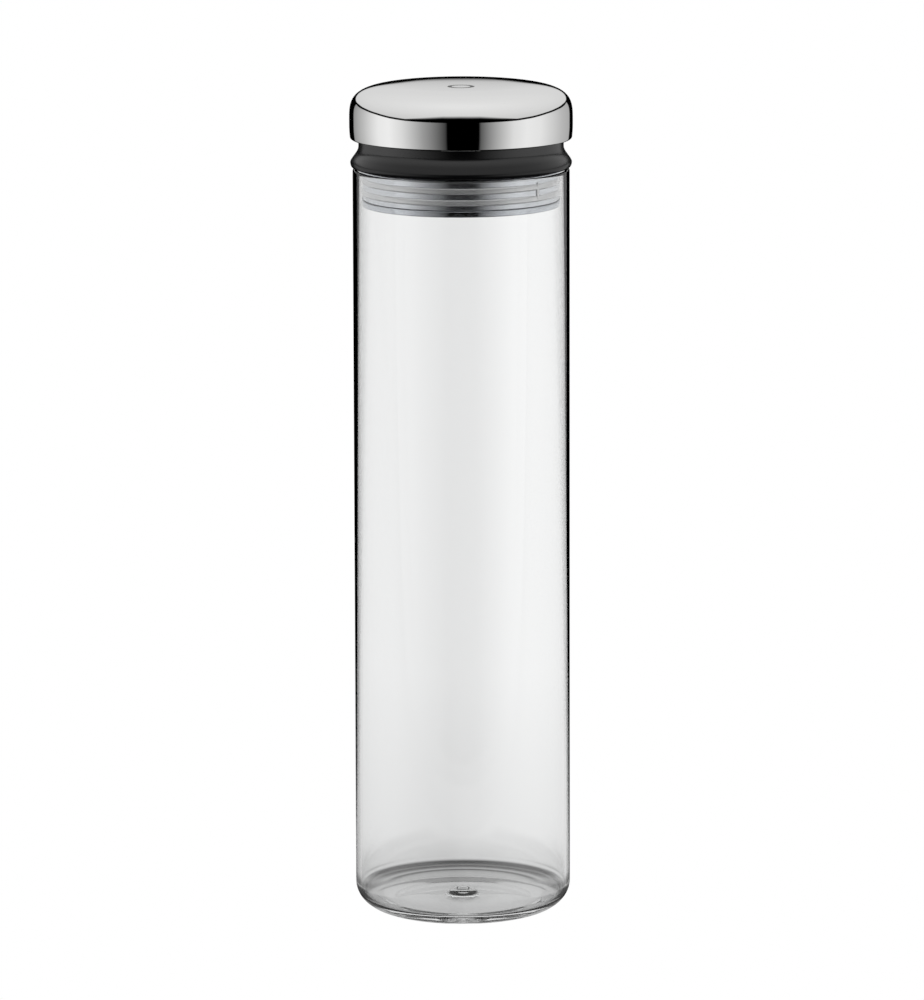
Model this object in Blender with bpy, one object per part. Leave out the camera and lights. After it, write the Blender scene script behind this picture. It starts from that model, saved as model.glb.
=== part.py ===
"""Lidded glass canister: a tall straight glass jar with a push-in lid.

Metres, +Z up. The jar stands on z = 0 with its axis on the Z axis. The lid is four pieces: a steel cap
pressed over a dark plastic collar, and a clear plug under the collar that carries a silicone seal.
Every piece is a body of revolution, and the lid lifts and turns about the same axis.
"""

import math

import bpy

SEGMENTS = 64  # flats around every round piece
GAP = 0.0003  # clearance between pieces that touch on the real object

# Jar
JAR_RADIUS = 0.0476
JAR_HEIGHT = 0.3317
JAR_WALL = 0.0022
CORNER_WIDTH = 0.0150  # the outside corner of the base is a quarter ellipse
CORNER_HEIGHT = 0.0123
FOOT_WIDTH = 0.0025  # flat ring that the jar stands on
RECESS_DEPTH = 0.0016  # the underside is hollowed inside the foot
RECESS_EDGE_WIDTH = 0.0030  # the hollow falls quickly to this depth next to the foot
RECESS_EDGE_DEPTH = 0.0010
FLOOR_EDGE = 0.0040  # height of the inside floor where it meets the corner
FLOOR_CENTRE = 0.0046
NUB_RADIUS = 0.0070  # small raised button in the middle of the floor
NUB_FLAT_RADIUS = 0.0028
NUB_HEIGHT = 0.0012

# Lid heights are measured up from the jar's rim.
# Plug: a clear cup whose bottom shoulder keeps the seal on
PLUG_RADIUS = 0.0434
PLUG_BOTTOM = -0.0156
PLUG_CORNER = 0.0020
PLUG_SHOULDER = -0.0117
PLUG_GROOVE_RADIUS = 0.0407
PLUG_TOP = 0.0060
PLUG_WALL = 0.0020

# Seal: a sleeve with two lips that press on the glass
SEAL_RADIUS = 0.0434
SEAL_TOP = 0.0
LIP_HEIGHTS = (-0.0039, -0.0089)
LIP_ROOT = 0.0026  # thickness where a lip leaves the sleeve
LIP_TIP = 0.0012

# Collar: the plastic core, with a flange on the rim, a waist to grip and a head inside the cap
FLANGE_FOOT_RADIUS = 0.0475
FLANGE_RADIUS = 0.0485
FLANGE_HEIGHT = 0.0026
WAIST_RADIUS = 0.0449
WAIST_HEIGHT = 0.0096
WAIST_START = 0.0112
WAIST_END = 0.0038
NECK_RADIUS = 0.0451
NECK_TOP = 0.0142
HEAD_RADIUS = 0.0472
HEAD_BOTTOM = 0.0169
HEAD_TOP = 0.0346
HEAD_CORNER = 0.0100
COLLAR_WALL = 0.0022
SOCKET_TOP = PLUG_TOP + GAP

# Cap: a thin steel shell with a curled lower edge
CAP_THICKNESS = 0.0008
CAP_BOTTOM = 0.0134
CAP_CORNER = 0.0008  # small radius at the turned-in lower edge
CAP_LEDGE_RADIUS = 0.0464
CAP_RADIUS = 0.0490
CAP_BOTTOM_RADIUS = 0.0487
CAP_WIDEST = 0.0200
CAP_TOP = 0.0376
CAP_DOME = 0.0005
CAP_EDGE_WIDTH = 0.0327  # the top rounds over to the side in a quarter of a fourth-power ellipse


def arc(centre, size, start, end, steps):
    """Points of an elliptical arc in the (radius, height) plane, with its angles in degrees."""
    points = []
    for step in range(steps + 1):
        angle = math.radians(start + (end - start) * step / steps)
        points.append((centre[0] + size[0] * math.cos(angle), centre[1] + size[1] * math.sin(angle)))
    return points


def make_material(name, colour, roughness, metallic=0.0, transmission=0.0, ior=1.5):
    material = bpy.data.materials.new(name)
    material.use_nodes = True
    shader = material.node_tree.nodes["Principled BSDF"]
    shader.inputs["Base Color"].default_value = (*colour, 1.0)
    shader.inputs["Roughness"].default_value = roughness
    shader.inputs["Metallic"].default_value = metallic
    shader.inputs["Transmission Weight"].default_value = transmission
    shader.inputs["IOR"].default_value = ior
    return material


def lathe(name, profile, material, closed=False, parent=None):
    """A solid turned about Z from a profile of (radius, height) points, outer side from top to bottom."""
    count = len(profile)
    edges = [(i, i + 1) for i in range(count - 1)]
    if closed:
        edges.append((count - 1, 0))
    mesh = bpy.data.meshes.new(name)
    mesh.from_pydata([(radius, 0.0, height) for radius, height in profile], edges, [])
    mesh.materials.append(material)
    turned = bpy.data.objects.new(name, mesh)
    bpy.context.scene.collection.objects.link(turned)
    turned.parent = parent
    screw = turned.modifiers.new("Turn", "SCREW")
    screw.axis = "Z"
    screw.steps = SEGMENTS
    screw.render_steps = SEGMENTS
    screw.use_merge_vertices = True
    screw.merge_threshold = 0.00001
    screw.use_smooth_shade = False
    return turned


def glass_jar():
    inner = JAR_RADIUS - JAR_WALL
    foot_outer = JAR_RADIUS - CORNER_WIDTH
    foot_inner = foot_outer - FOOT_WIDTH
    lip = JAR_WALL / 2
    inside_size = (CORNER_WIDTH - JAR_WALL, CORNER_HEIGHT - FLOOR_EDGE)
    profile = [(0.0, FLOOR_CENTRE + NUB_HEIGHT), (NUB_FLAT_RADIUS, FLOOR_CENTRE + NUB_HEIGHT)]
    profile.append((NUB_RADIUS, FLOOR_CENTRE))
    profile += arc((foot_outer, CORNER_HEIGHT), inside_size, -90, 0, 6)
    profile += arc((JAR_RADIUS - lip, JAR_HEIGHT - lip), (lip, lip), 180, 0, 6)
    profile += arc((foot_outer, CORNER_HEIGHT), (CORNER_WIDTH, CORNER_HEIGHT), 0, -90, 8)
    profile += [(foot_inner, 0.0), (foot_inner - RECESS_EDGE_WIDTH, RECESS_EDGE_DEPTH), (0.0, RECESS_DEPTH)]
    material = make_material("clear_glass", (1.0, 1.0, 1.0), 0.0, transmission=1.0, ior=1.47)
    return lathe("glass_jar", profile, material)


def plug_cup(seat):
    inner = PLUG_GROOVE_RADIUS - PLUG_WALL
    floor = PLUG_BOTTOM + PLUG_WALL
    profile = [(0.0, floor)]
    profile += arc((inner - PLUG_CORNER / 2, floor + PLUG_CORNER / 2), [PLUG_CORNER / 2] * 2, -90, 0, 2)
    profile += [(inner, PLUG_TOP), (PLUG_GROOVE_RADIUS, PLUG_TOP), (PLUG_GROOVE_RADIUS, PLUG_SHOULDER)]
    profile += [(PLUG_RADIUS, PLUG_SHOULDER)]
    profile += arc((PLUG_RADIUS - PLUG_CORNER, PLUG_BOTTOM + PLUG_CORNER), [PLUG_CORNER] * 2, 0, -90, 4)
    profile += [(0.0, PLUG_BOTTOM)]
    material = make_material("clear_plastic", (0.95, 0.97, 0.98), 0.05, transmission=1.0, ior=1.5)
    return lathe("plug_cup", profile, material, parent=seat)


def seal_ring(seat):
    inner = PLUG_GROOVE_RADIUS + GAP
    tip = JAR_RADIUS - JAR_WALL - GAP
    profile = [(inner, SEAL_TOP), (SEAL_RADIUS, SEAL_TOP)]
    for height in LIP_HEIGHTS:
        profile += [(SEAL_RADIUS, height + LIP_ROOT / 2), (tip, height + LIP_TIP / 2)]
        profile += [(tip, height - LIP_TIP / 2), (SEAL_RADIUS, height - LIP_ROOT / 2)]
    bottom = PLUG_SHOULDER + GAP
    profile += [(SEAL_RADIUS, bottom), (inner, bottom)]
    material = make_material("milky_silicone", (0.78, 0.80, 0.81), 0.35, transmission=0.4, ior=1.41)
    return lathe("seal_ring", profile, material, closed=True, parent=seat)


def waist_curve(steps):
    """The hollow of the waist, from below the neck down to the top of the flange."""
    points = []
    for step in range(1, steps):
        height = WAIST_START + (WAIST_END - WAIST_START) * step / steps
        if height >= WAIST_HEIGHT:
            rise = (height - WAIST_HEIGHT) / (NECK_TOP - WAIST_HEIGHT)
            radius = WAIST_RADIUS + (NECK_RADIUS - WAIST_RADIUS) * rise ** 2
        else:
            drop = (WAIST_HEIGHT - height) / (WAIST_HEIGHT - FLANGE_HEIGHT)
            radius = WAIST_RADIUS + (FLANGE_RADIUS - WAIST_RADIUS) * drop ** 2
        points.append((radius, height))
    return points


def lid_collar(seat):
    inner = PLUG_GROOVE_RADIUS - PLUG_WALL
    head_size = (HEAD_CORNER, HEAD_CORNER)
    head_inside = (HEAD_CORNER - COLLAR_WALL, HEAD_CORNER - COLLAR_WALL)
    head_centre = (HEAD_RADIUS - HEAD_CORNER, HEAD_TOP - HEAD_CORNER)
    profile = [(0.0, HEAD_TOP)]
    profile += arc(head_centre, head_size, 90, 0, 4)
    profile += [(HEAD_RADIUS, HEAD_BOTTOM), (NECK_RADIUS, NECK_TOP)]
    profile += waist_curve(8)
    profile += [(FLANGE_RADIUS, FLANGE_HEIGHT), (FLANGE_FOOT_RADIUS, GAP)]
    profile += [(PLUG_GROOVE_RADIUS + GAP, GAP), (PLUG_GROOVE_RADIUS + GAP, SOCKET_TOP)]
    profile += [(inner, SOCKET_TOP), (inner, NECK_TOP)]
    profile += arc(head_centre, head_inside, 0, 90, 3)
    profile += [(0.0, HEAD_TOP - COLLAR_WALL)]
    material = make_material("dark_plastic", (0.045, 0.046, 0.048), 0.4)
    return lathe("lid_collar", profile, material, parent=seat)


def cap_outline(inset, steps):
    """The cap's section from its middle to its turned-in lower edge, moved in by the inset."""
    flat = CAP_RADIUS - CAP_EDGE_WIDTH
    edge_height = CAP_TOP - CAP_DOME - CAP_WIDEST
    points = [(0.0, CAP_TOP - inset)]
    for step in range(steps + 1):
        angle = math.pi / 2 * step / steps
        radius = flat + (CAP_EDGE_WIDTH - inset) * math.sqrt(math.sin(angle))
        fall = CAP_DOME * (radius / CAP_RADIUS) ** 2 + (edge_height - inset) * (1 - math.sqrt(math.cos(angle)))
        points.append((radius, CAP_TOP - inset - fall))
    corner = CAP_CORNER - inset * 0.5
    points += arc((CAP_BOTTOM_RADIUS - CAP_CORNER, CAP_BOTTOM + CAP_CORNER), (corner, corner), 0, -90, 3)
    points.append((CAP_LEDGE_RADIUS, CAP_BOTTOM + inset * 0.5))
    return points


def lid_cap(seat):
    profile = cap_outline(0.0, 9) + cap_outline(CAP_THICKNESS, 7)[::-1]
    material = make_material("polished_steel", (0.80, 0.80, 0.80), 0.06, metallic=1.0)
    return lathe("lid_cap", profile, material, parent=seat)


def clear_scene():
    for existing in list(bpy.data.objects):
        bpy.data.objects.remove(existing, do_unlink=True)


def main():
    clear_scene()
    seat = bpy.data.objects.new("lid_seat", None)
    seat.location = (0.0, 0.0, JAR_HEIGHT)
    bpy.context.scene.collection.objects.link(seat)
    glass_jar()
    plug_cup(seat)
    seal_ring(seat)
    lid_collar(seat)
    lid_cap(seat)


main()
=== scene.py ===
"""Looks of the lidded glass canister, built around its CAD frame.

Metres, +Z up, the jar's axis on Z. Every piece but the seal's seam is turned about that axis from a fine
profile, and the main sizes come from the boxes of the CAD nodes. The camera is on the -Y side.
"""

import math

import bpy
from mathutils import Matrix, Vector


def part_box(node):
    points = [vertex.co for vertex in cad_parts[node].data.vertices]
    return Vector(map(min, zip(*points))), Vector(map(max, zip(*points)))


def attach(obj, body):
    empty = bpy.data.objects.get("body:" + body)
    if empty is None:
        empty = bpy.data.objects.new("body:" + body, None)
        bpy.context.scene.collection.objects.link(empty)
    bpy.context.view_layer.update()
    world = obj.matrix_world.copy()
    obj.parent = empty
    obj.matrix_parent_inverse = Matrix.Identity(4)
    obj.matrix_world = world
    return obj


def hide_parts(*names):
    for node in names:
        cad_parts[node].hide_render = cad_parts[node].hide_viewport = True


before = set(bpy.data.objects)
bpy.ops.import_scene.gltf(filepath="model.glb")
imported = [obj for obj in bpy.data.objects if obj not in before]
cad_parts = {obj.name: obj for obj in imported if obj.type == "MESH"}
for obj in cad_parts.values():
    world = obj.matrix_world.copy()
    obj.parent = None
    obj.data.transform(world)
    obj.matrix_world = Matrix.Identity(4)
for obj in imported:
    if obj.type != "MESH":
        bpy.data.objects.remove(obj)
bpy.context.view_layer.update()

JAR_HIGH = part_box("glass_jar")[1]
CAP_LOW, CAP_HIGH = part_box("lid_cap")
COLLAR_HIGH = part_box("lid_collar")[1]
PLUG_LOW, PLUG_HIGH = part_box("plug_cup")
SEAL_LOW, SEAL_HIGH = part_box("seal_ring")

SEGMENTS = 240  # flats around every turned piece

# Jar
JAR_RADIUS = JAR_HIGH.x
RIM = JAR_HIGH.z  # height of the jar's rim
JAR_WALL = 0.0022
OUTER_CORNER = (0.0150, 0.0123)  # each corner of the base is a quarter ellipse of this width and height
INNER_CORNER = (0.0064, 0.0070)
FOOT_WIDTH = 0.0020  # flat ring that the jar stands on
HOLLOW_DEPTH = 0.0016  # the underside is hollowed inside the foot
FLOOR_EDGE = 0.0050  # height of the inside floor where its corner starts
FLOOR_MIDDLE = 0.0060
NUB_RADIUS = 0.0090  # the corners of the small nub in the floor are at fifths of this
NUB_HEIGHT = 0.0024
NUB_DIP = 0.0008  # height of the dip in the nub over the floor

# Plug: a clear cup with a groove for the seal above its shoulder
PLUG_RADIUS = PLUG_HIGH.x + 0.0008
GROOVE_RADIUS = PLUG_HIGH.x - 0.0027
PLUG_WALL = 0.0020
PLUG_TOP = PLUG_HIGH.z
PLUG_BOTTOM = PLUG_LOW.z - 0.0004
PLUG_SHOULDER = PLUG_BOTTOM + 0.0026

# Seal: a sleeve with two lips and a moulding seam
SOCKET_RADIUS = PLUG_HIGH.x - 0.0024  # inside of the seal, and of the collar where it holds the plug
SLEEVE_RADIUS = PLUG_HIGH.x + 0.0004  # outside of the seal between its lips
SEAL_TOP = SEAL_HIGH.z
SEAL_BOTTOM = SEAL_LOW.z - 0.0018
LIP_RADIUS = JAR_RADIUS - 0.0033
LIP_DROPS = (0.0032, 0.0082)  # how far below the rim each lip starts
SEAM_TURN = math.radians(-42.0)  # about the axis from +X, so it is at the front right
SEAM_RADIUS = LIP_RADIUS - 0.0003
SEAM_HALF_WIDTH = 0.0008
SEAM_TAPER = 0.0012  # height over which each end narrows

# Collar: the plastic core, with a head inside the cap, a waist to grip and a flange on the rim
HEAD_RADIUS = 0.0472
HEAD_TOP = COLLAR_HIGH.z
HEAD_SHOULDER = RIM + 0.0246
HEAD_BOTTOM = RIM + 0.0170
WAIST_RADIUS = 0.0450
WAIST_HEIGHT = RIM + 0.0100
FLANGE_RADIUS = COLLAR_HIGH.x + 0.0001
FLANGE_HEIGHT = RIM + 0.0030
FLANGE_EDGE = (0.0012, 0.0022)  # width and height of the quarter ellipse under its widest place
FLANGE_UNDERSIDE = RIM + 0.0008
SOCKET_BOTTOM = RIM + 0.0003
SOCKET_TOP = RIM + 0.0063
HOLLOW_RADIUS = SOCKET_RADIUS - 0.0023
HOLLOW_SHOULDER = RIM + 0.0150
HOLLOW_TOP_RADIUS = 0.0350
HOLLOW_TOP = RIM + 0.0320

# Cap: a thin steel shell with a domed top and a turned-in lower edge
CAP_RADIUS = CAP_HIGH.x
CAP_TOP = CAP_HIGH.z - 0.0005
CAP_BOTTOM = CAP_LOW.z
CAP_THICKNESS = 0.0008
CAP_DOME = 0.0005  # how far the dome would fall from the middle out to the cap's radius
CAP_WIDEST = RIM + 0.0200  # height at which the side is upright
CAP_EDGE_WIDTH = 0.0327  # the top rounds over to the side in a quarter of a fourth-power ellipse
CAP_TAPER = 0.0003  # how much the side narrows down to its lower corner
CAP_CORNER = 0.0008
CAP_LEDGE = 0.0026  # how far the lower edge is turned in

# Etched ring on the cap's top
RING_CENTRE = (0.0, -0.009, 0.0)
RING_RADIUS = 0.0050
RING_WIDTH = 0.0019

# The plastic shines less up to the first of these heights than from the second
FLANGE_SHINE_TOP = RIM + 0.0055
WAIST_SHINE_BOTTOM = RIM + 0.0085


# ---------------------------------------------------------------- shapes

def arc(centre, size, start, end, steps):
    """Points of an elliptical arc in the (radius, height) plane, with its angles in degrees."""
    points = []
    for step in range(steps + 1):
        angle = math.radians(start + (end - start) * step / steps)
        points.append((centre[0] + size[0] * math.cos(angle), centre[1] + size[1] * math.sin(angle)))
    return points


def rounded(corners, steps=5):
    """A profile through (radius, height, rounding) corners, each rounded by a quadratic curve."""
    points = []
    longest = 0.49  # share of a side that one rounding may take
    for index, (x, y, rounding) in enumerate(corners):
        here = Vector((x, y))
        if rounding == 0.0 or index in (0, len(corners) - 1):
            points.append((x, y))
            continue
        before = Vector(corners[index - 1][:2]) - here
        after = Vector(corners[index + 1][:2]) - here
        start = here + before.normalized() * min(rounding, before.length * longest)
        end = here + after.normalized() * min(rounding, after.length * longest)
        for step in range(steps + 1):
            share = step / steps
            point = start * (1 - share) ** 2 + here * 2 * share * (1 - share) + end * share ** 2
            points.append((point.x, point.y))
    return points


def mesh_object(name, vertices, faces, smooth=True):
    mesh = bpy.data.meshes.new(name)
    mesh.from_pydata(vertices, [], faces)
    mesh.polygons.foreach_set("use_smooth", [smooth] * len(faces))
    mesh.update()
    made = bpy.data.objects.new(name, mesh)
    bpy.context.scene.collection.objects.link(made)
    return made


def skin(pairs):
    """Faces between pairs of rings, an upper and a lower one. A ring lists its vertices anticlockwise."""
    faces = []
    for upper, lower in pairs:
        for index in range(len(upper)):
            following = (index + 1) % len(upper)
            corners = (upper[index], lower[index], lower[following], upper[following])
            face = list(dict.fromkeys(corners))
            if len(face) > 2:
                faces.append(face)
    return faces


def turned(name, profile, closed=False):
    """A smooth body of revolution about Z. The (radius, height) profile runs down its outer side."""
    on_axis = 1e-7
    vertices = []
    rings = []
    for radius, height in profile:
        first = len(vertices)
        if radius < on_axis:
            rings.append([first] * SEGMENTS)
            vertices.append((0.0, 0.0, height))
            continue
        rings.append(list(range(first, first + SEGMENTS)))
        for index in range(SEGMENTS):
            angle = 2 * math.pi * index / SEGMENTS
            vertices.append((radius * math.cos(angle), radius * math.sin(angle), height))
    pairs = list(zip(rings, rings[1:]))
    if closed:
        pairs.append((rings[-1], rings[0]))
    return mesh_object(name, vertices, skin(pairs))


def plane(name, low, high, height):
    """A level sheet between two opposite corners."""
    corners = [(low[0], low[1], height), (high[0], low[1], height), (high[0], high[1], height),
               (low[0], high[1], height)]
    return mesh_object(name, corners, [(0, 1, 2, 3)], smooth=False)


def placed(piece, body, slot, material, *nodes):
    """Gives a piece its material and the body it moves with, and hides the CAD nodes it stands for. The slot
    is not used.
    """
    piece.data.materials.append(material)
    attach(piece, body)
    if nodes:
        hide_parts(*nodes)


# ---------------------------------------------------------------- nodes

def node_material(name):
    material = bpy.data.materials.new(name)
    material.use_nodes = True
    tree = material.node_tree
    return material, tree, tree.nodes["Principled BSDF"]


def feed(tree, node, inputs):
    """Links each input to its socket, or sets it to its plain value."""
    for key, value in inputs.items():
        if isinstance(value, bpy.types.NodeSocket):
            tree.links.new(value, node.inputs[key])
        else:
            node.inputs[key].default_value = value


def add_node(tree, kind, inputs, **settings):
    node = tree.nodes.new(kind)
    for key, value in settings.items():
        setattr(node, key, value)
    feed(tree, node, inputs)
    return node


def math_value(tree, operation, *values):
    return add_node(tree, "ShaderNodeMath", dict(enumerate(values)), operation=operation).outputs["Value"]


def product(tree, first, *others):
    for other in others:
        first = math_value(tree, "MULTIPLY", first, other)
    return first


def vector_math(tree, operation, *values):
    return add_node(tree, "ShaderNodeVectorMath", dict(enumerate(values)), operation=operation).outputs


def object_place(tree):
    return add_node(tree, "ShaderNodeTexCoord", {}).outputs["Object"]


def level_place(tree):
    """The place on the object with its height set to 0."""
    return vector_math(tree, "MULTIPLY", object_place(tree), (1.0, 1.0, 0.0))["Vector"]


def axes_of(tree, vector):
    return add_node(tree, "ShaderNodeSeparateXYZ", {0: vector}).outputs


def mixed(tree, share, a, b):
    """From a to b. Inputs 2 and 3 are the node's pair of floats."""
    return add_node(tree, "ShaderNodeMix", {0: share, 2: a, 3: b}, data_type="FLOAT").outputs[0]


def mixed_colour(tree, share, a, b):
    """From a to b. Inputs 6 and 7 are the node's pair of colours."""
    return add_node(tree, "ShaderNodeMix", {0: share, 6: a, 7: b}, data_type="RGBA").outputs[2]


def mapped(tree, value, low, high, start, end, interpolation="LINEAR"):
    """The value's range from low to high mapped onto the range from start to end, and held there."""
    inputs = {"Value": value, "From Min": low, "From Max": high, "To Min": start, "To Max": end}
    return add_node(tree, "ShaderNodeMapRange", inputs, interpolation_type=interpolation).outputs["Result"]


def smooth_step(tree, value, low, high, start=0.0, end=1.0):
    return mapped(tree, value, low, high, start, end, "SMOOTHSTEP")


def ramp(tree, value, low, high, stops):
    """Brightness along a value, from (value, brightness) stops."""
    node = add_node(tree, "ShaderNodeValToRGB", {"Fac": mapped(tree, value, low, high, 0.0, 1.0)})
    elements = node.color_ramp.elements
    while len(elements) < len(stops):
        elements.new(1.0)
    for element, (where, level) in zip(elements, stops):
        element.position = (where - low) / (high - low)
        element.color = (level, level, level, 1.0)
    return node.outputs["Color"]


def noise(tree, scale, stretch=(1.0, 1.0, 1.0), detail=3.0):
    mapping = add_node(tree, "ShaderNodeMapping", {"Vector": object_place(tree), "Scale": stretch})
    inputs = {"Vector": mapping.outputs["Vector"], "Scale": scale, "Detail": detail}
    return add_node(tree, "ShaderNodeTexNoise", inputs).outputs["Fac"]


def noise_range(tree, noise_value, start, end):
    """A noise, most of which lies between 0.3 and 0.7, spread over the range from start to end."""
    return mapped(tree, noise_value, 0.3, 0.7, start, end)


def bump(tree, height, distance, strength=1.0):
    inputs = {"Height": height, "Distance": distance, "Strength": strength}
    return add_node(tree, "ShaderNodeBump", inputs).outputs["Normal"]


def ring_mask(tree, centre, radius, width):
    """1 on a thin ring around a point of the XY plane, 0 elsewhere."""
    reach = vector_math(tree, "DISTANCE", level_place(tree), centre)["Value"]
    off = math_value(tree, "ABSOLUTE", math_value(tree, "SUBTRACT", reach, radius))
    return smooth_step(tree, off, width * 0.6, width * 0.4)


# ---------------------------------------------------------------- materials

def clear_glass():
    """Clear glass whose surface waves very slightly, in streaks that run up the wall."""
    material, tree, shader = node_material("clear_glass")
    waves = noise(tree, scale=18.0, stretch=(1.0, 1.0, 0.25), detail=1.0)
    feed(tree, shader, {
        "Base Color": (0.995, 0.998, 0.998, 1.0),
        "Transmission Weight": 1.0,
        "IOR": 1.47,
        "Roughness": 0.0,
        "Normal": bump(tree, waves, distance=0.00008),
    })
    return material


def polished_steel():
    """Mirror-polished steel with a small ring etched on the top."""
    material, tree, shader = node_material("polished_steel")
    steel = (0.80, 0.80, 0.795, 1.0)
    etched_steel = (0.10, 0.10, 0.10, 1.0)
    etched_roughness = 0.5
    etched = ring_mask(tree, RING_CENTRE, RING_RADIUS, RING_WIDTH)
    polish = noise_range(tree, noise(tree, scale=60.0), start=0.025, end=0.045)
    feed(tree, shader, {
        "Base Color": mixed_colour(tree, etched, steel, etched_steel),
        "Metallic": 1.0,
        "Roughness": mixed(tree, etched, polish, etched_roughness),
    })
    return material


def dark_plastic():
    """Fine satin plastic that shines more from the waist up than on the flange."""
    material, tree, shader = node_material("dark_plastic")
    grain = noise(tree, scale=3000.0)
    height = axes_of(tree, object_place(tree))["Z"]
    shine = smooth_step(tree, height, FLANGE_SHINE_TOP, WAIST_SHINE_BOTTOM, start=0.34, end=0.66)
    feed(tree, shader, {
        "Base Color": (0.006, 0.006, 0.0065, 1.0),
        "IOR": 1.48,
        "Roughness": noise_range(tree, grain, start=0.21, end=0.25),
        "Specular IOR Level": shine,
        "Normal": bump(tree, grain, distance=0.000008, strength=0.15),
    })
    return material


def clear_plastic():
    """Clear moulded plastic. The metallic share stands in for the light that its inside faces throw back."""
    material, tree, shader = node_material("clear_plastic")
    feed(tree, shader, {
        "Base Color": (0.56, 0.585, 0.62, 1.0),
        "Metallic": 0.9,
        "Transmission Weight": 0.9,
        "IOR": 1.5,
        "Roughness": noise_range(tree, noise(tree, scale=400.0), start=0.08, end=0.12),
    })
    return material


def milky_silicone():
    """Silicone, drawn opaque: milky in the lips, and shiny on the sleeve, as the clear plug behind it is.

    The metallic share stands in for the light that comes back from the plug.
    """
    material, tree, shader = node_material("milky_silicone")
    sleeve = (0.68, 0.70, 0.73, 1.0)
    milky = (0.96, 0.965, 0.97, 1.0)
    reach = vector_math(tree, "LENGTH", level_place(tree))["Value"]
    lip = smooth_step(tree, reach, low=SLEEVE_RADIUS, high=SLEEVE_RADIUS + 0.0002)
    feed(tree, shader, {
        "Base Color": mixed_colour(tree, lip, sleeve, milky),
        "Metallic": mapped(tree, lip, low=0.0, high=1.0, start=0.86, end=0.30),
        "Roughness": noise_range(tree, noise(tree, scale=900.0), start=0.16, end=0.21),
    })
    return material


def glowing(name):
    """A material that shows its own brightness and takes no light."""
    material, tree, shader = node_material(name)
    feed(tree, shader, {
        "Base Color": (0.0, 0.0, 0.0, 1.0),
        "Specular IOR Level": 0.0,
        "Emission Color": (1.0, 1.0, 1.0, 1.0),
        "Emission Strength": 1.0,
    })
    return material, tree, shader


# ---------------------------------------------------------------- pieces

def jar_floor(flat):
    """The inside floor from the axis out: a nub with a dip in its middle, then a slight fall."""
    top = FLOOR_MIDDLE + NUB_HEIGHT
    dip = FLOOR_MIDDLE + NUB_DIP
    corners = [(0.0, dip, 0), (NUB_RADIUS * 0.2, dip, 0.0009), (NUB_RADIUS * 0.4, top, 0.0010),
               (NUB_RADIUS * 0.6, top, 0.0010), (NUB_RADIUS * 0.8, FLOOR_MIDDLE, 0.0010),
               (NUB_RADIUS * 2.0, FLOOR_MIDDLE, 0.008), (flat, FLOOR_EDGE, 0)]
    return rounded(corners, steps=8)


def jar_hollow(foot_inner, steps):
    """The shallow hollow under the jar, from the foot in to the axis."""
    points = []
    for step in range(steps + 1):
        share = 1 - step / steps
        points.append((foot_inner * share, HOLLOW_DEPTH * (1 - share ** 2)))
    return points


def jar():
    """A straight wall with a rounded rim, on a thick base with a rounded corner inside and out."""
    flat = JAR_RADIUS - JAR_WALL - INNER_CORNER[0]
    foot = JAR_RADIUS - OUTER_CORNER[0]
    half_wall = JAR_WALL / 2
    profile = jar_floor(flat)
    profile += arc((flat, FLOOR_EDGE + INNER_CORNER[1]), INNER_CORNER, start=-90, end=0, steps=20)[1:]
    rim_centre = (JAR_RADIUS - half_wall, RIM - half_wall)
    profile += arc(rim_centre, (half_wall, half_wall), start=180, end=0, steps=14)
    profile += arc((foot, OUTER_CORNER[1]), OUTER_CORNER, start=0, end=-90, steps=24)
    profile += jar_hollow(foot - FOOT_WIDTH, steps=24)
    return turned("jar_glass", profile)


def plug():
    inside = GROOVE_RADIUS - PLUG_WALL
    floor = PLUG_BOTTOM + PLUG_WALL
    corners = [(0.0, floor, 0), (inside, floor, 0.0012), (inside, PLUG_TOP, 0.0004),
               (GROOVE_RADIUS, PLUG_TOP, 0.0004), (GROOVE_RADIUS, PLUG_SHOULDER, 0.0003),
               (PLUG_RADIUS, PLUG_SHOULDER, 0.0003), (PLUG_RADIUS, PLUG_BOTTOM, 0.0005),
               (0.0, PLUG_BOTTOM, 0)]
    return turned("plug_body", rounded(corners, steps=6))


def seal():
    """The sleeve and its lips: each runs out from the sleeve, stands nearly upright and turns back in."""
    corners = [(SOCKET_RADIUS, SEAL_TOP, 0), (SLEEVE_RADIUS, SEAL_TOP, 0.0004)]
    for drop in LIP_DROPS:
        top = RIM - drop
        corners += [(SLEEVE_RADIUS, top, 0.0004), (LIP_RADIUS - 0.0002, top - 0.0008, 0.0005),
                    (LIP_RADIUS, top - 0.0023, 0.0003), (SLEEVE_RADIUS, top - 0.0028, 0.0003)]
    corners += [(SLEEVE_RADIUS, SEAL_BOTTOM, 0.0004), (SOCKET_RADIUS, SEAL_BOTTOM, 0)]
    return turned("seal_sleeve", rounded(corners), closed=True)


def seam():
    """The moulding seam that crosses both lips, a fine upright rib with narrow ends."""
    sides = 12
    half_depth = SEAM_HALF_WIDTH * 0.4
    top = RIM - LIP_DROPS[0] + 0.0006
    bottom = RIM - LIP_DROPS[1] - 0.0032
    rows = ((top, 0.2), (top - SEAM_TAPER, 1.0), (bottom + SEAM_TAPER, 1.0), (bottom, 0.2))
    vertices = []
    for height, swell in rows:
        for index in range(sides):
            angle = 2 * math.pi * index / sides
            out = SEAM_RADIUS + half_depth * swell * math.cos(angle)
            across = SEAM_HALF_WIDTH * swell * math.sin(angle)
            vertices.append((out * math.cos(SEAM_TURN) - across * math.sin(SEAM_TURN),
                             out * math.sin(SEAM_TURN) + across * math.cos(SEAM_TURN), height))
    rings = [list(range(first, first + sides)) for first in range(0, len(vertices), sides)]
    faces = skin(zip(rings, rings[1:])) + [rings[0], rings[-1][::-1]]
    return mesh_object("seal_seam", vertices, faces)


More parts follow.
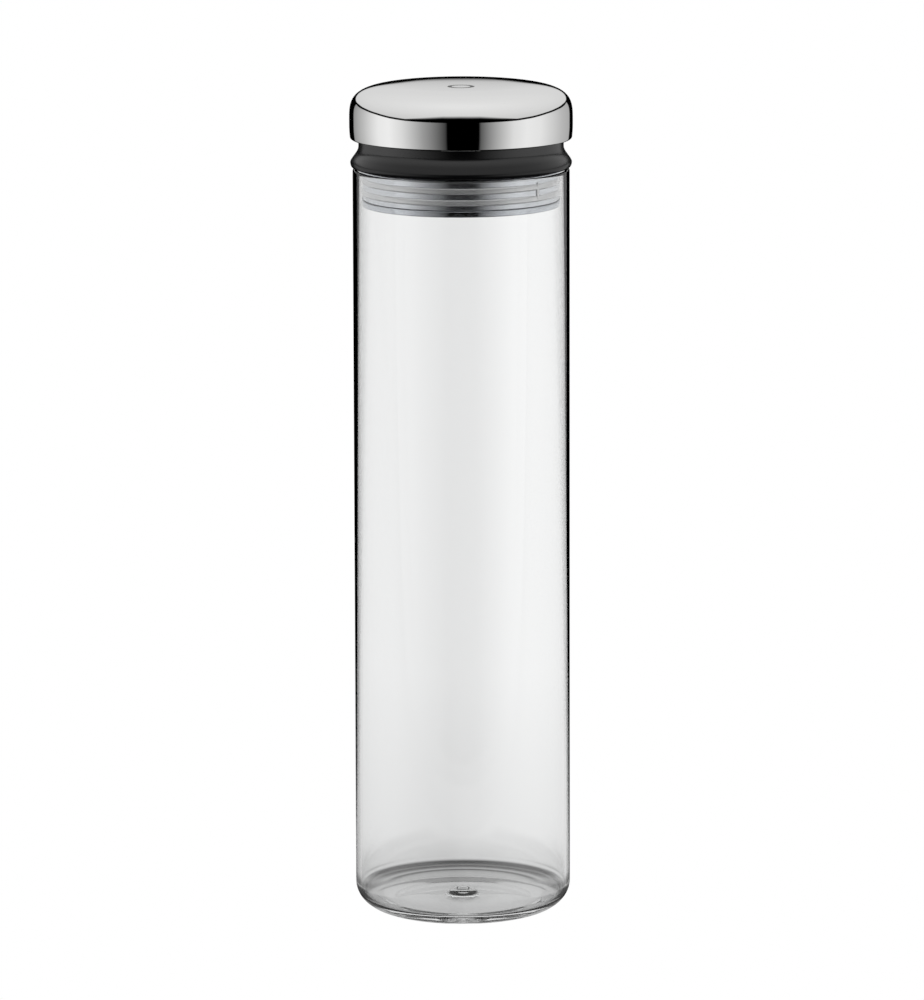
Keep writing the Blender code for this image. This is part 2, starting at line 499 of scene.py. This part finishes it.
def collar_waist(upper_steps, lower_steps):
    """The hollow to grip: it falls steeply away from the head and swells out again to the flange."""
    points = []
    for step in range(1, upper_steps + 1):
        share = step / upper_steps
        radius = WAIST_RADIUS + (HEAD_RADIUS - WAIST_RADIUS) * (1 - share) ** 3
        points.append((radius, HEAD_BOTTOM + (WAIST_HEIGHT - HEAD_BOTTOM) * share))
    for step in range(1, lower_steps + 1):
        share = step / lower_steps
        swell = 1 - math.cos(math.pi / 2 * share) ** 1.4
        radius = WAIST_RADIUS + (FLANGE_RADIUS - WAIST_RADIUS) * swell
        points.append((radius, WAIST_HEIGHT + (FLANGE_HEIGHT - WAIST_HEIGHT) * share))
    return points


def collar():
    """The head, the waist and the flange outside, then the plug's socket and the hollow over it inside."""
    head = [(0.0, HEAD_TOP, 0), (HEAD_RADIUS - 0.0100, HEAD_TOP, 0.008),
            (HEAD_RADIUS, HEAD_SHOULDER, 0.008), (HEAD_RADIUS, HEAD_BOTTOM, 0)]
    profile = rounded(head, steps=8) + collar_waist(upper_steps=16, lower_steps=24)
    edge_centre = (FLANGE_RADIUS - FLANGE_EDGE[0], FLANGE_HEIGHT)
    profile += arc(edge_centre, FLANGE_EDGE, start=0, end=-90, steps=10)[1:]
    profile += [(SOCKET_RADIUS + 0.0012, FLANGE_UNDERSIDE), (SOCKET_RADIUS + 0.0010, SOCKET_BOTTOM),
                (SOCKET_RADIUS, SOCKET_BOTTOM), (SOCKET_RADIUS, SOCKET_TOP), (HOLLOW_RADIUS, SOCKET_TOP),
                (HOLLOW_RADIUS, HOLLOW_SHOULDER), (HOLLOW_TOP_RADIUS, HOLLOW_TOP), (0.0, HOLLOW_TOP)]
    return turned("collar_core", profile)


def cap_top(inset, steps):
    """The top from the axis out to its edge, and round the edge down to the widest place."""
    flat = CAP_RADIUS - CAP_EDGE_WIDTH
    edge_height = CAP_TOP - CAP_DOME - CAP_WIDEST
    edge_steps = steps * 4
    points = []
    for step in range(steps):
        out = flat * step / steps
        points.append((out, CAP_TOP - inset - CAP_DOME * (out / CAP_RADIUS) ** 2))
    for step in range(edge_steps + 1):
        angle = math.pi / 2 * step / edge_steps
        out = flat + (CAP_EDGE_WIDTH - inset) * math.sqrt(math.sin(angle))
        fall = (edge_height - inset) * (1 - math.sqrt(math.cos(angle)))
        points.append((out, CAP_TOP - inset - CAP_DOME * (out / CAP_RADIUS) ** 2 - fall))
    return points


def cap_section(inset, steps):
    """The steel's section from the middle of the top to the turned-in lower edge, moved in by the inset."""
    curl = CAP_BOTTOM + CAP_CORNER
    corner = CAP_CORNER - inset * 0.5
    points = cap_top(inset, steps)
    for step in range(1, steps + 1):
        share = step / steps
        radius = CAP_RADIUS - inset - CAP_TAPER * share ** 2
        points.append((radius, CAP_WIDEST + (curl - CAP_WIDEST) * share))
    corner_centre = (CAP_RADIUS - CAP_TAPER - CAP_CORNER, curl)
    points += arc(corner_centre, (corner, corner), start=0, end=-90, steps=6)[1:]
    points.append((CAP_RADIUS - CAP_LEDGE, CAP_BOTTOM + inset * 0.5))
    return points


def cap():
    outside = cap_section(inset=0.0, steps=16)
    inside = cap_section(inset=CAP_THICKNESS, steps=8)
    return turned("cap_shell", outside + inside[::-1])


# ---------------------------------------------------------------- studio

# Brightness of the light box on either side against the azimuth in degrees, from the front to the right.
LEFT_BOX = ((-180, 0.0), (-147, 0.0), (-145.5, 0.33), (-120, 0.62), (-95, 1.0), (-80, 1.05), (-64, 0.86),
            (-40, 0.40), (-16, 0.06), (-14, 0.0), (0, 0.0))
RIGHT_BOX = ((0, 0.0), (18.5, 0.0), (20.5, 0.12), (40, 0.53), (56, 0.88), (72, 1.0), (90, 0.95),
             (104, 0.80), (128, 0.58), (150, 0.46), (151.5, 0.0), (180, 0.0))
# Elevations in degrees against the azimuth on either side of the front.
BOX_TOP = ((0, 3.0), (60, 3.0), (80, 4.5), (100, 7.5), (120, 9.0), (140, 8.5), (180, 8.5))
CEILING_EDGE = ((0, 23.0), (20, 21.5), (40, 14.0), (60, 7.5), (80, 9.0), (100, 12.0), (120, 13.5),
                (140, 13.0), (160, 9.0), (172, 5.8), (180, 5.8))
# Brightness of the ceiling against the elevation in degrees.
CEILING_LEVEL = ((0, 0.50), (5.5, 0.56), (7.5, 0.70), (10, 0.75), (30, 0.84), (80, 0.95), (90, 0.95))
DEGREE_SPAN = 90.0

# Brightness of the table against the distance in metres from the jar's axis: painted shade, darkest under
# and around the jar, standing in for the jar's shadow on the table.
TABLE_SHADE = ((0, 0.36), (0.050, 0.38), (0.070, 0.42), (0.084, 0.55), (0.095, 0.66), (0.15, 0.74),
               (0.45, 0.84), (1.0, 0.85))
# Brightness behind the jar, where dark bands of painted shade curve round this centre, against the distance
# from it.
# Through the jar they show as dark lines in its thick base.
BAND_CENTRE = (0.0, 0.030, 0.0)
TABLE_PAINTED_BANDS = ((0, 0.38), (0.029, 0.36), (0.033, 0.28), (0.035, 0.07), (0.037, 0.07), (0.039, 0.38),
               (0.041, 0.34), (0.044, 0.05), (0.048, 0.05), (0.050, 0.20), (0.053, 0.05), (0.063, 0.08),
               (0.071, 0.60), (0.12, 0.74), (0.42, 0.84), (0.97, 0.85))


def elevation_ramp(tree, around, stops):
    """Elevation in degrees along the azimuth. A ramp holds 0 to 1, so the degrees are scaled to that."""
    scaled = [(where, degrees / DEGREE_SPAN) for where, degrees in stops]
    return math_value(tree, "MULTIPLY", ramp(tree, around, 0, 180, scaled), DEGREE_SPAN)


def side_boxes(tree, azimuth, around, elevation):
    left = ramp(tree, azimuth, -180, 0, LEFT_BOX)
    right = ramp(tree, azimuth, 0, 180, RIGHT_BOX)
    on_right = math_value(tree, "GREATER_THAN", azimuth, 0.0)
    under_top = math_value(tree, "SUBTRACT", elevation_ramp(tree, around, BOX_TOP), elevation)
    top_edge = smooth_step(tree, under_top, low=-0.4, high=0.4)
    bottom_edge = smooth_step(tree, elevation, low=-34.0, high=-24.0)
    return product(tree, mixed(tree, on_right, left, right), top_edge, bottom_edge)


def ceiling(tree, around, elevation):
    """A bright ceiling whose edge is soft at the front and sharp at the sides and the back."""
    over_edge = math_value(tree, "SUBTRACT", elevation, elevation_ramp(tree, around, CEILING_EDGE))
    softness = smooth_step(tree, around, low=70.0, high=10.0, start=0.6, end=8.0)
    edge = smooth_step(tree, math_value(tree, "DIVIDE", over_edge, softness), low=-1.0, high=1.0)
    return product(tree, edge, ramp(tree, elevation, 0, 90, CEILING_LEVEL))


def studio_world():
    """Light boxes and a ceiling around the canister. The camera itself sees plain white around it."""
    world = bpy.data.worlds.new("studio")
    world.use_nodes = True
    bpy.context.scene.world = world
    tree = world.node_tree
    direction = add_node(tree, "ShaderNodeTexCoord", {}).outputs["Generated"]
    axes = axes_of(tree, direction)
    front = math_value(tree, "MULTIPLY", axes["Y"], -1.0)
    azimuth = math_value(tree, "DEGREES", math_value(tree, "ARCTAN2", axes["X"], front))
    around = math_value(tree, "ABSOLUTE", azimuth)
    elevation = math_value(tree, "DEGREES", math_value(tree, "ARCSINE", axes["Z"]))
    sides = side_boxes(tree, azimuth, around, elevation)
    total = math_value(tree, "ADD", sides, ceiling(tree, around, elevation))
    seen = add_node(tree, "ShaderNodeLightPath", {}).outputs["Is Camera Ray"]
    feed(tree, tree.nodes["Background"], {"Color": math_value(tree, "MAXIMUM", total, seen)})


def white_floor():
    """The pale floor, which only the camera sees. It glows evenly and takes no light, so no shadow shows."""
    floor = plane("floor", low=(-40, -40), high=(40, 40), height=-0.0006)
    floor.data.materials.append(glowing("floor_white")[0])
    for way in ("visible_glossy", "visible_transmission", "visible_diffuse", "visible_shadow"):
        setattr(floor, way, False)


def table_painted_shade(tree, place, reach, back):
    """Painted shade under and around the jar, and dark bands of painted shade behind it."""
    behind = smooth_step(tree, math_value(tree, "DIVIDE", back, reach), low=0.62, high=0.86)
    band_reach = vector_math(tree, "DISTANCE", place, BAND_CENTRE)["Value"]
    # Painted shade, darkest under and around the jar.
    shade = ramp(tree, reach, 0.0, 1.0, TABLE_SHADE)
    # Painted shade in dark bands behind the jar.
    bands = ramp(tree, band_reach, 0.0, 1.0, TABLE_PAINTED_BANDS)
    return mixed_colour(tree, behind, shade, bands)


def table_painted_light_and_shade(tree, axes, reach):
    """Painted light and shade: a little darker in front, a little brighter on the right, and dark in a patch
    on either side.
    """
    # Painted shade towards the table's front edge.
    front_painted_shade = smooth_step(tree, axes["Y"], low=-0.20, high=-0.06, start=0.70, end=1.0)
    to_right = math_value(tree, "DIVIDE", axes["X"], reach)
    # Painted light on the right.
    right_painted_light = smooth_step(tree, to_right, low=-0.10, high=0.06, start=1.0, end=1.09)
    # Painted shade in a patch on either side, near the jar.
    sideways = math_value(tree, "DIVIDE", math_value(tree, "ABSOLUTE", axes["X"]), reach)
    beside = smooth_step(tree, sideways, low=0.60, high=0.85, start=0.0, end=0.85)
    within = smooth_step(tree, reach, low=0.100, high=0.075)
    outside = smooth_step(tree, reach, low=0.045, high=0.050)
    side_painted_shade = math_value(tree, "SUBTRACT", 1.0, product(tree, beside, within, outside))
    return product(tree, front_painted_shade, right_painted_light, side_painted_shade)


def table():
    """A table top that glows with painted light and painted shade, shows through the glass and lights the
    pieces, but hides from the camera.

    It is long behind the canister and short in front. Only the small sheet near the jar is reflected.
    """
    # The table's glow is painted light standing in for light that a lit white table throws back, with
    # painted shade in its colour and strength.
    material, tree, shader = glowing("painted_light_table")
    place = object_place(tree)
    reach = vector_math(tree, "LENGTH", place)["Value"]
    axes = axes_of(tree, place)
    feed(tree, shader, {
        "Emission Color": table_painted_shade(tree, place, reach, axes["Y"]),
        "Emission Strength": table_painted_light_and_shade(tree, axes, reach),
    })
    top = plane("table", low=(-6.0, -0.20), high=(1.2, 9.0), height=-0.0004)
    top.visible_glossy = False
    near = plane("table_near", low=(-0.075, -0.090), high=(0.075, 0.03), height=-0.0003)
    for sheet in (top, near):
        sheet.data.materials.append(material)
        sheet.visible_camera = False
        sheet.visible_shadow = False


def camera():
    """A long lens about 3.2 m away, looking 10 degrees down at the middle of the canister."""
    pitch = math.radians(10.0)
    roll = -0.0027
    distance = 3.2225
    target = 0.18395
    data = bpy.data.cameras.new("camera")
    data.lens = 262.5
    data.sensor_width = 36.0
    data.clip_end = 100.0
    view = bpy.data.objects.new("camera", data)
    bpy.context.scene.collection.objects.link(view)
    place = Vector((0.0, -distance * math.cos(pitch), target + distance * math.sin(pitch)))
    tilt = Matrix.Rotation(math.pi / 2 - pitch, 4, "X") @ Matrix.Rotation(roll, 4, "Z")
    view.matrix_world = Matrix.Translation(place) @ tilt
    bpy.context.scene.camera = view


def render_settings():
    """Colours without a film look, and enough bounces for light to pass the glass and the plug."""
    scene = bpy.context.scene
    scene.view_settings.view_transform = "Standard"
    scene.cycles.max_bounces = 24
    scene.cycles.transmission_bounces = 24
    scene.cycles.glossy_bounces = 8


placed(jar(), "jar", "glass", clear_glass(), "glass_jar")
placed(plug(), "lid", "clear_plastic", clear_plastic(), "plug_cup")
silicone = milky_silicone()
placed(seal(), "seal", "silicone", silicone, "seal_ring")
placed(seam(), "seal", "silicone", silicone)
placed(collar(), "lid", "dark_plastic", dark_plastic(), "lid_collar")
placed(cap(), "lid", "steel", polished_steel(), "lid_cap")
studio_world()
white_floor()
table()
camera()
render_settings()
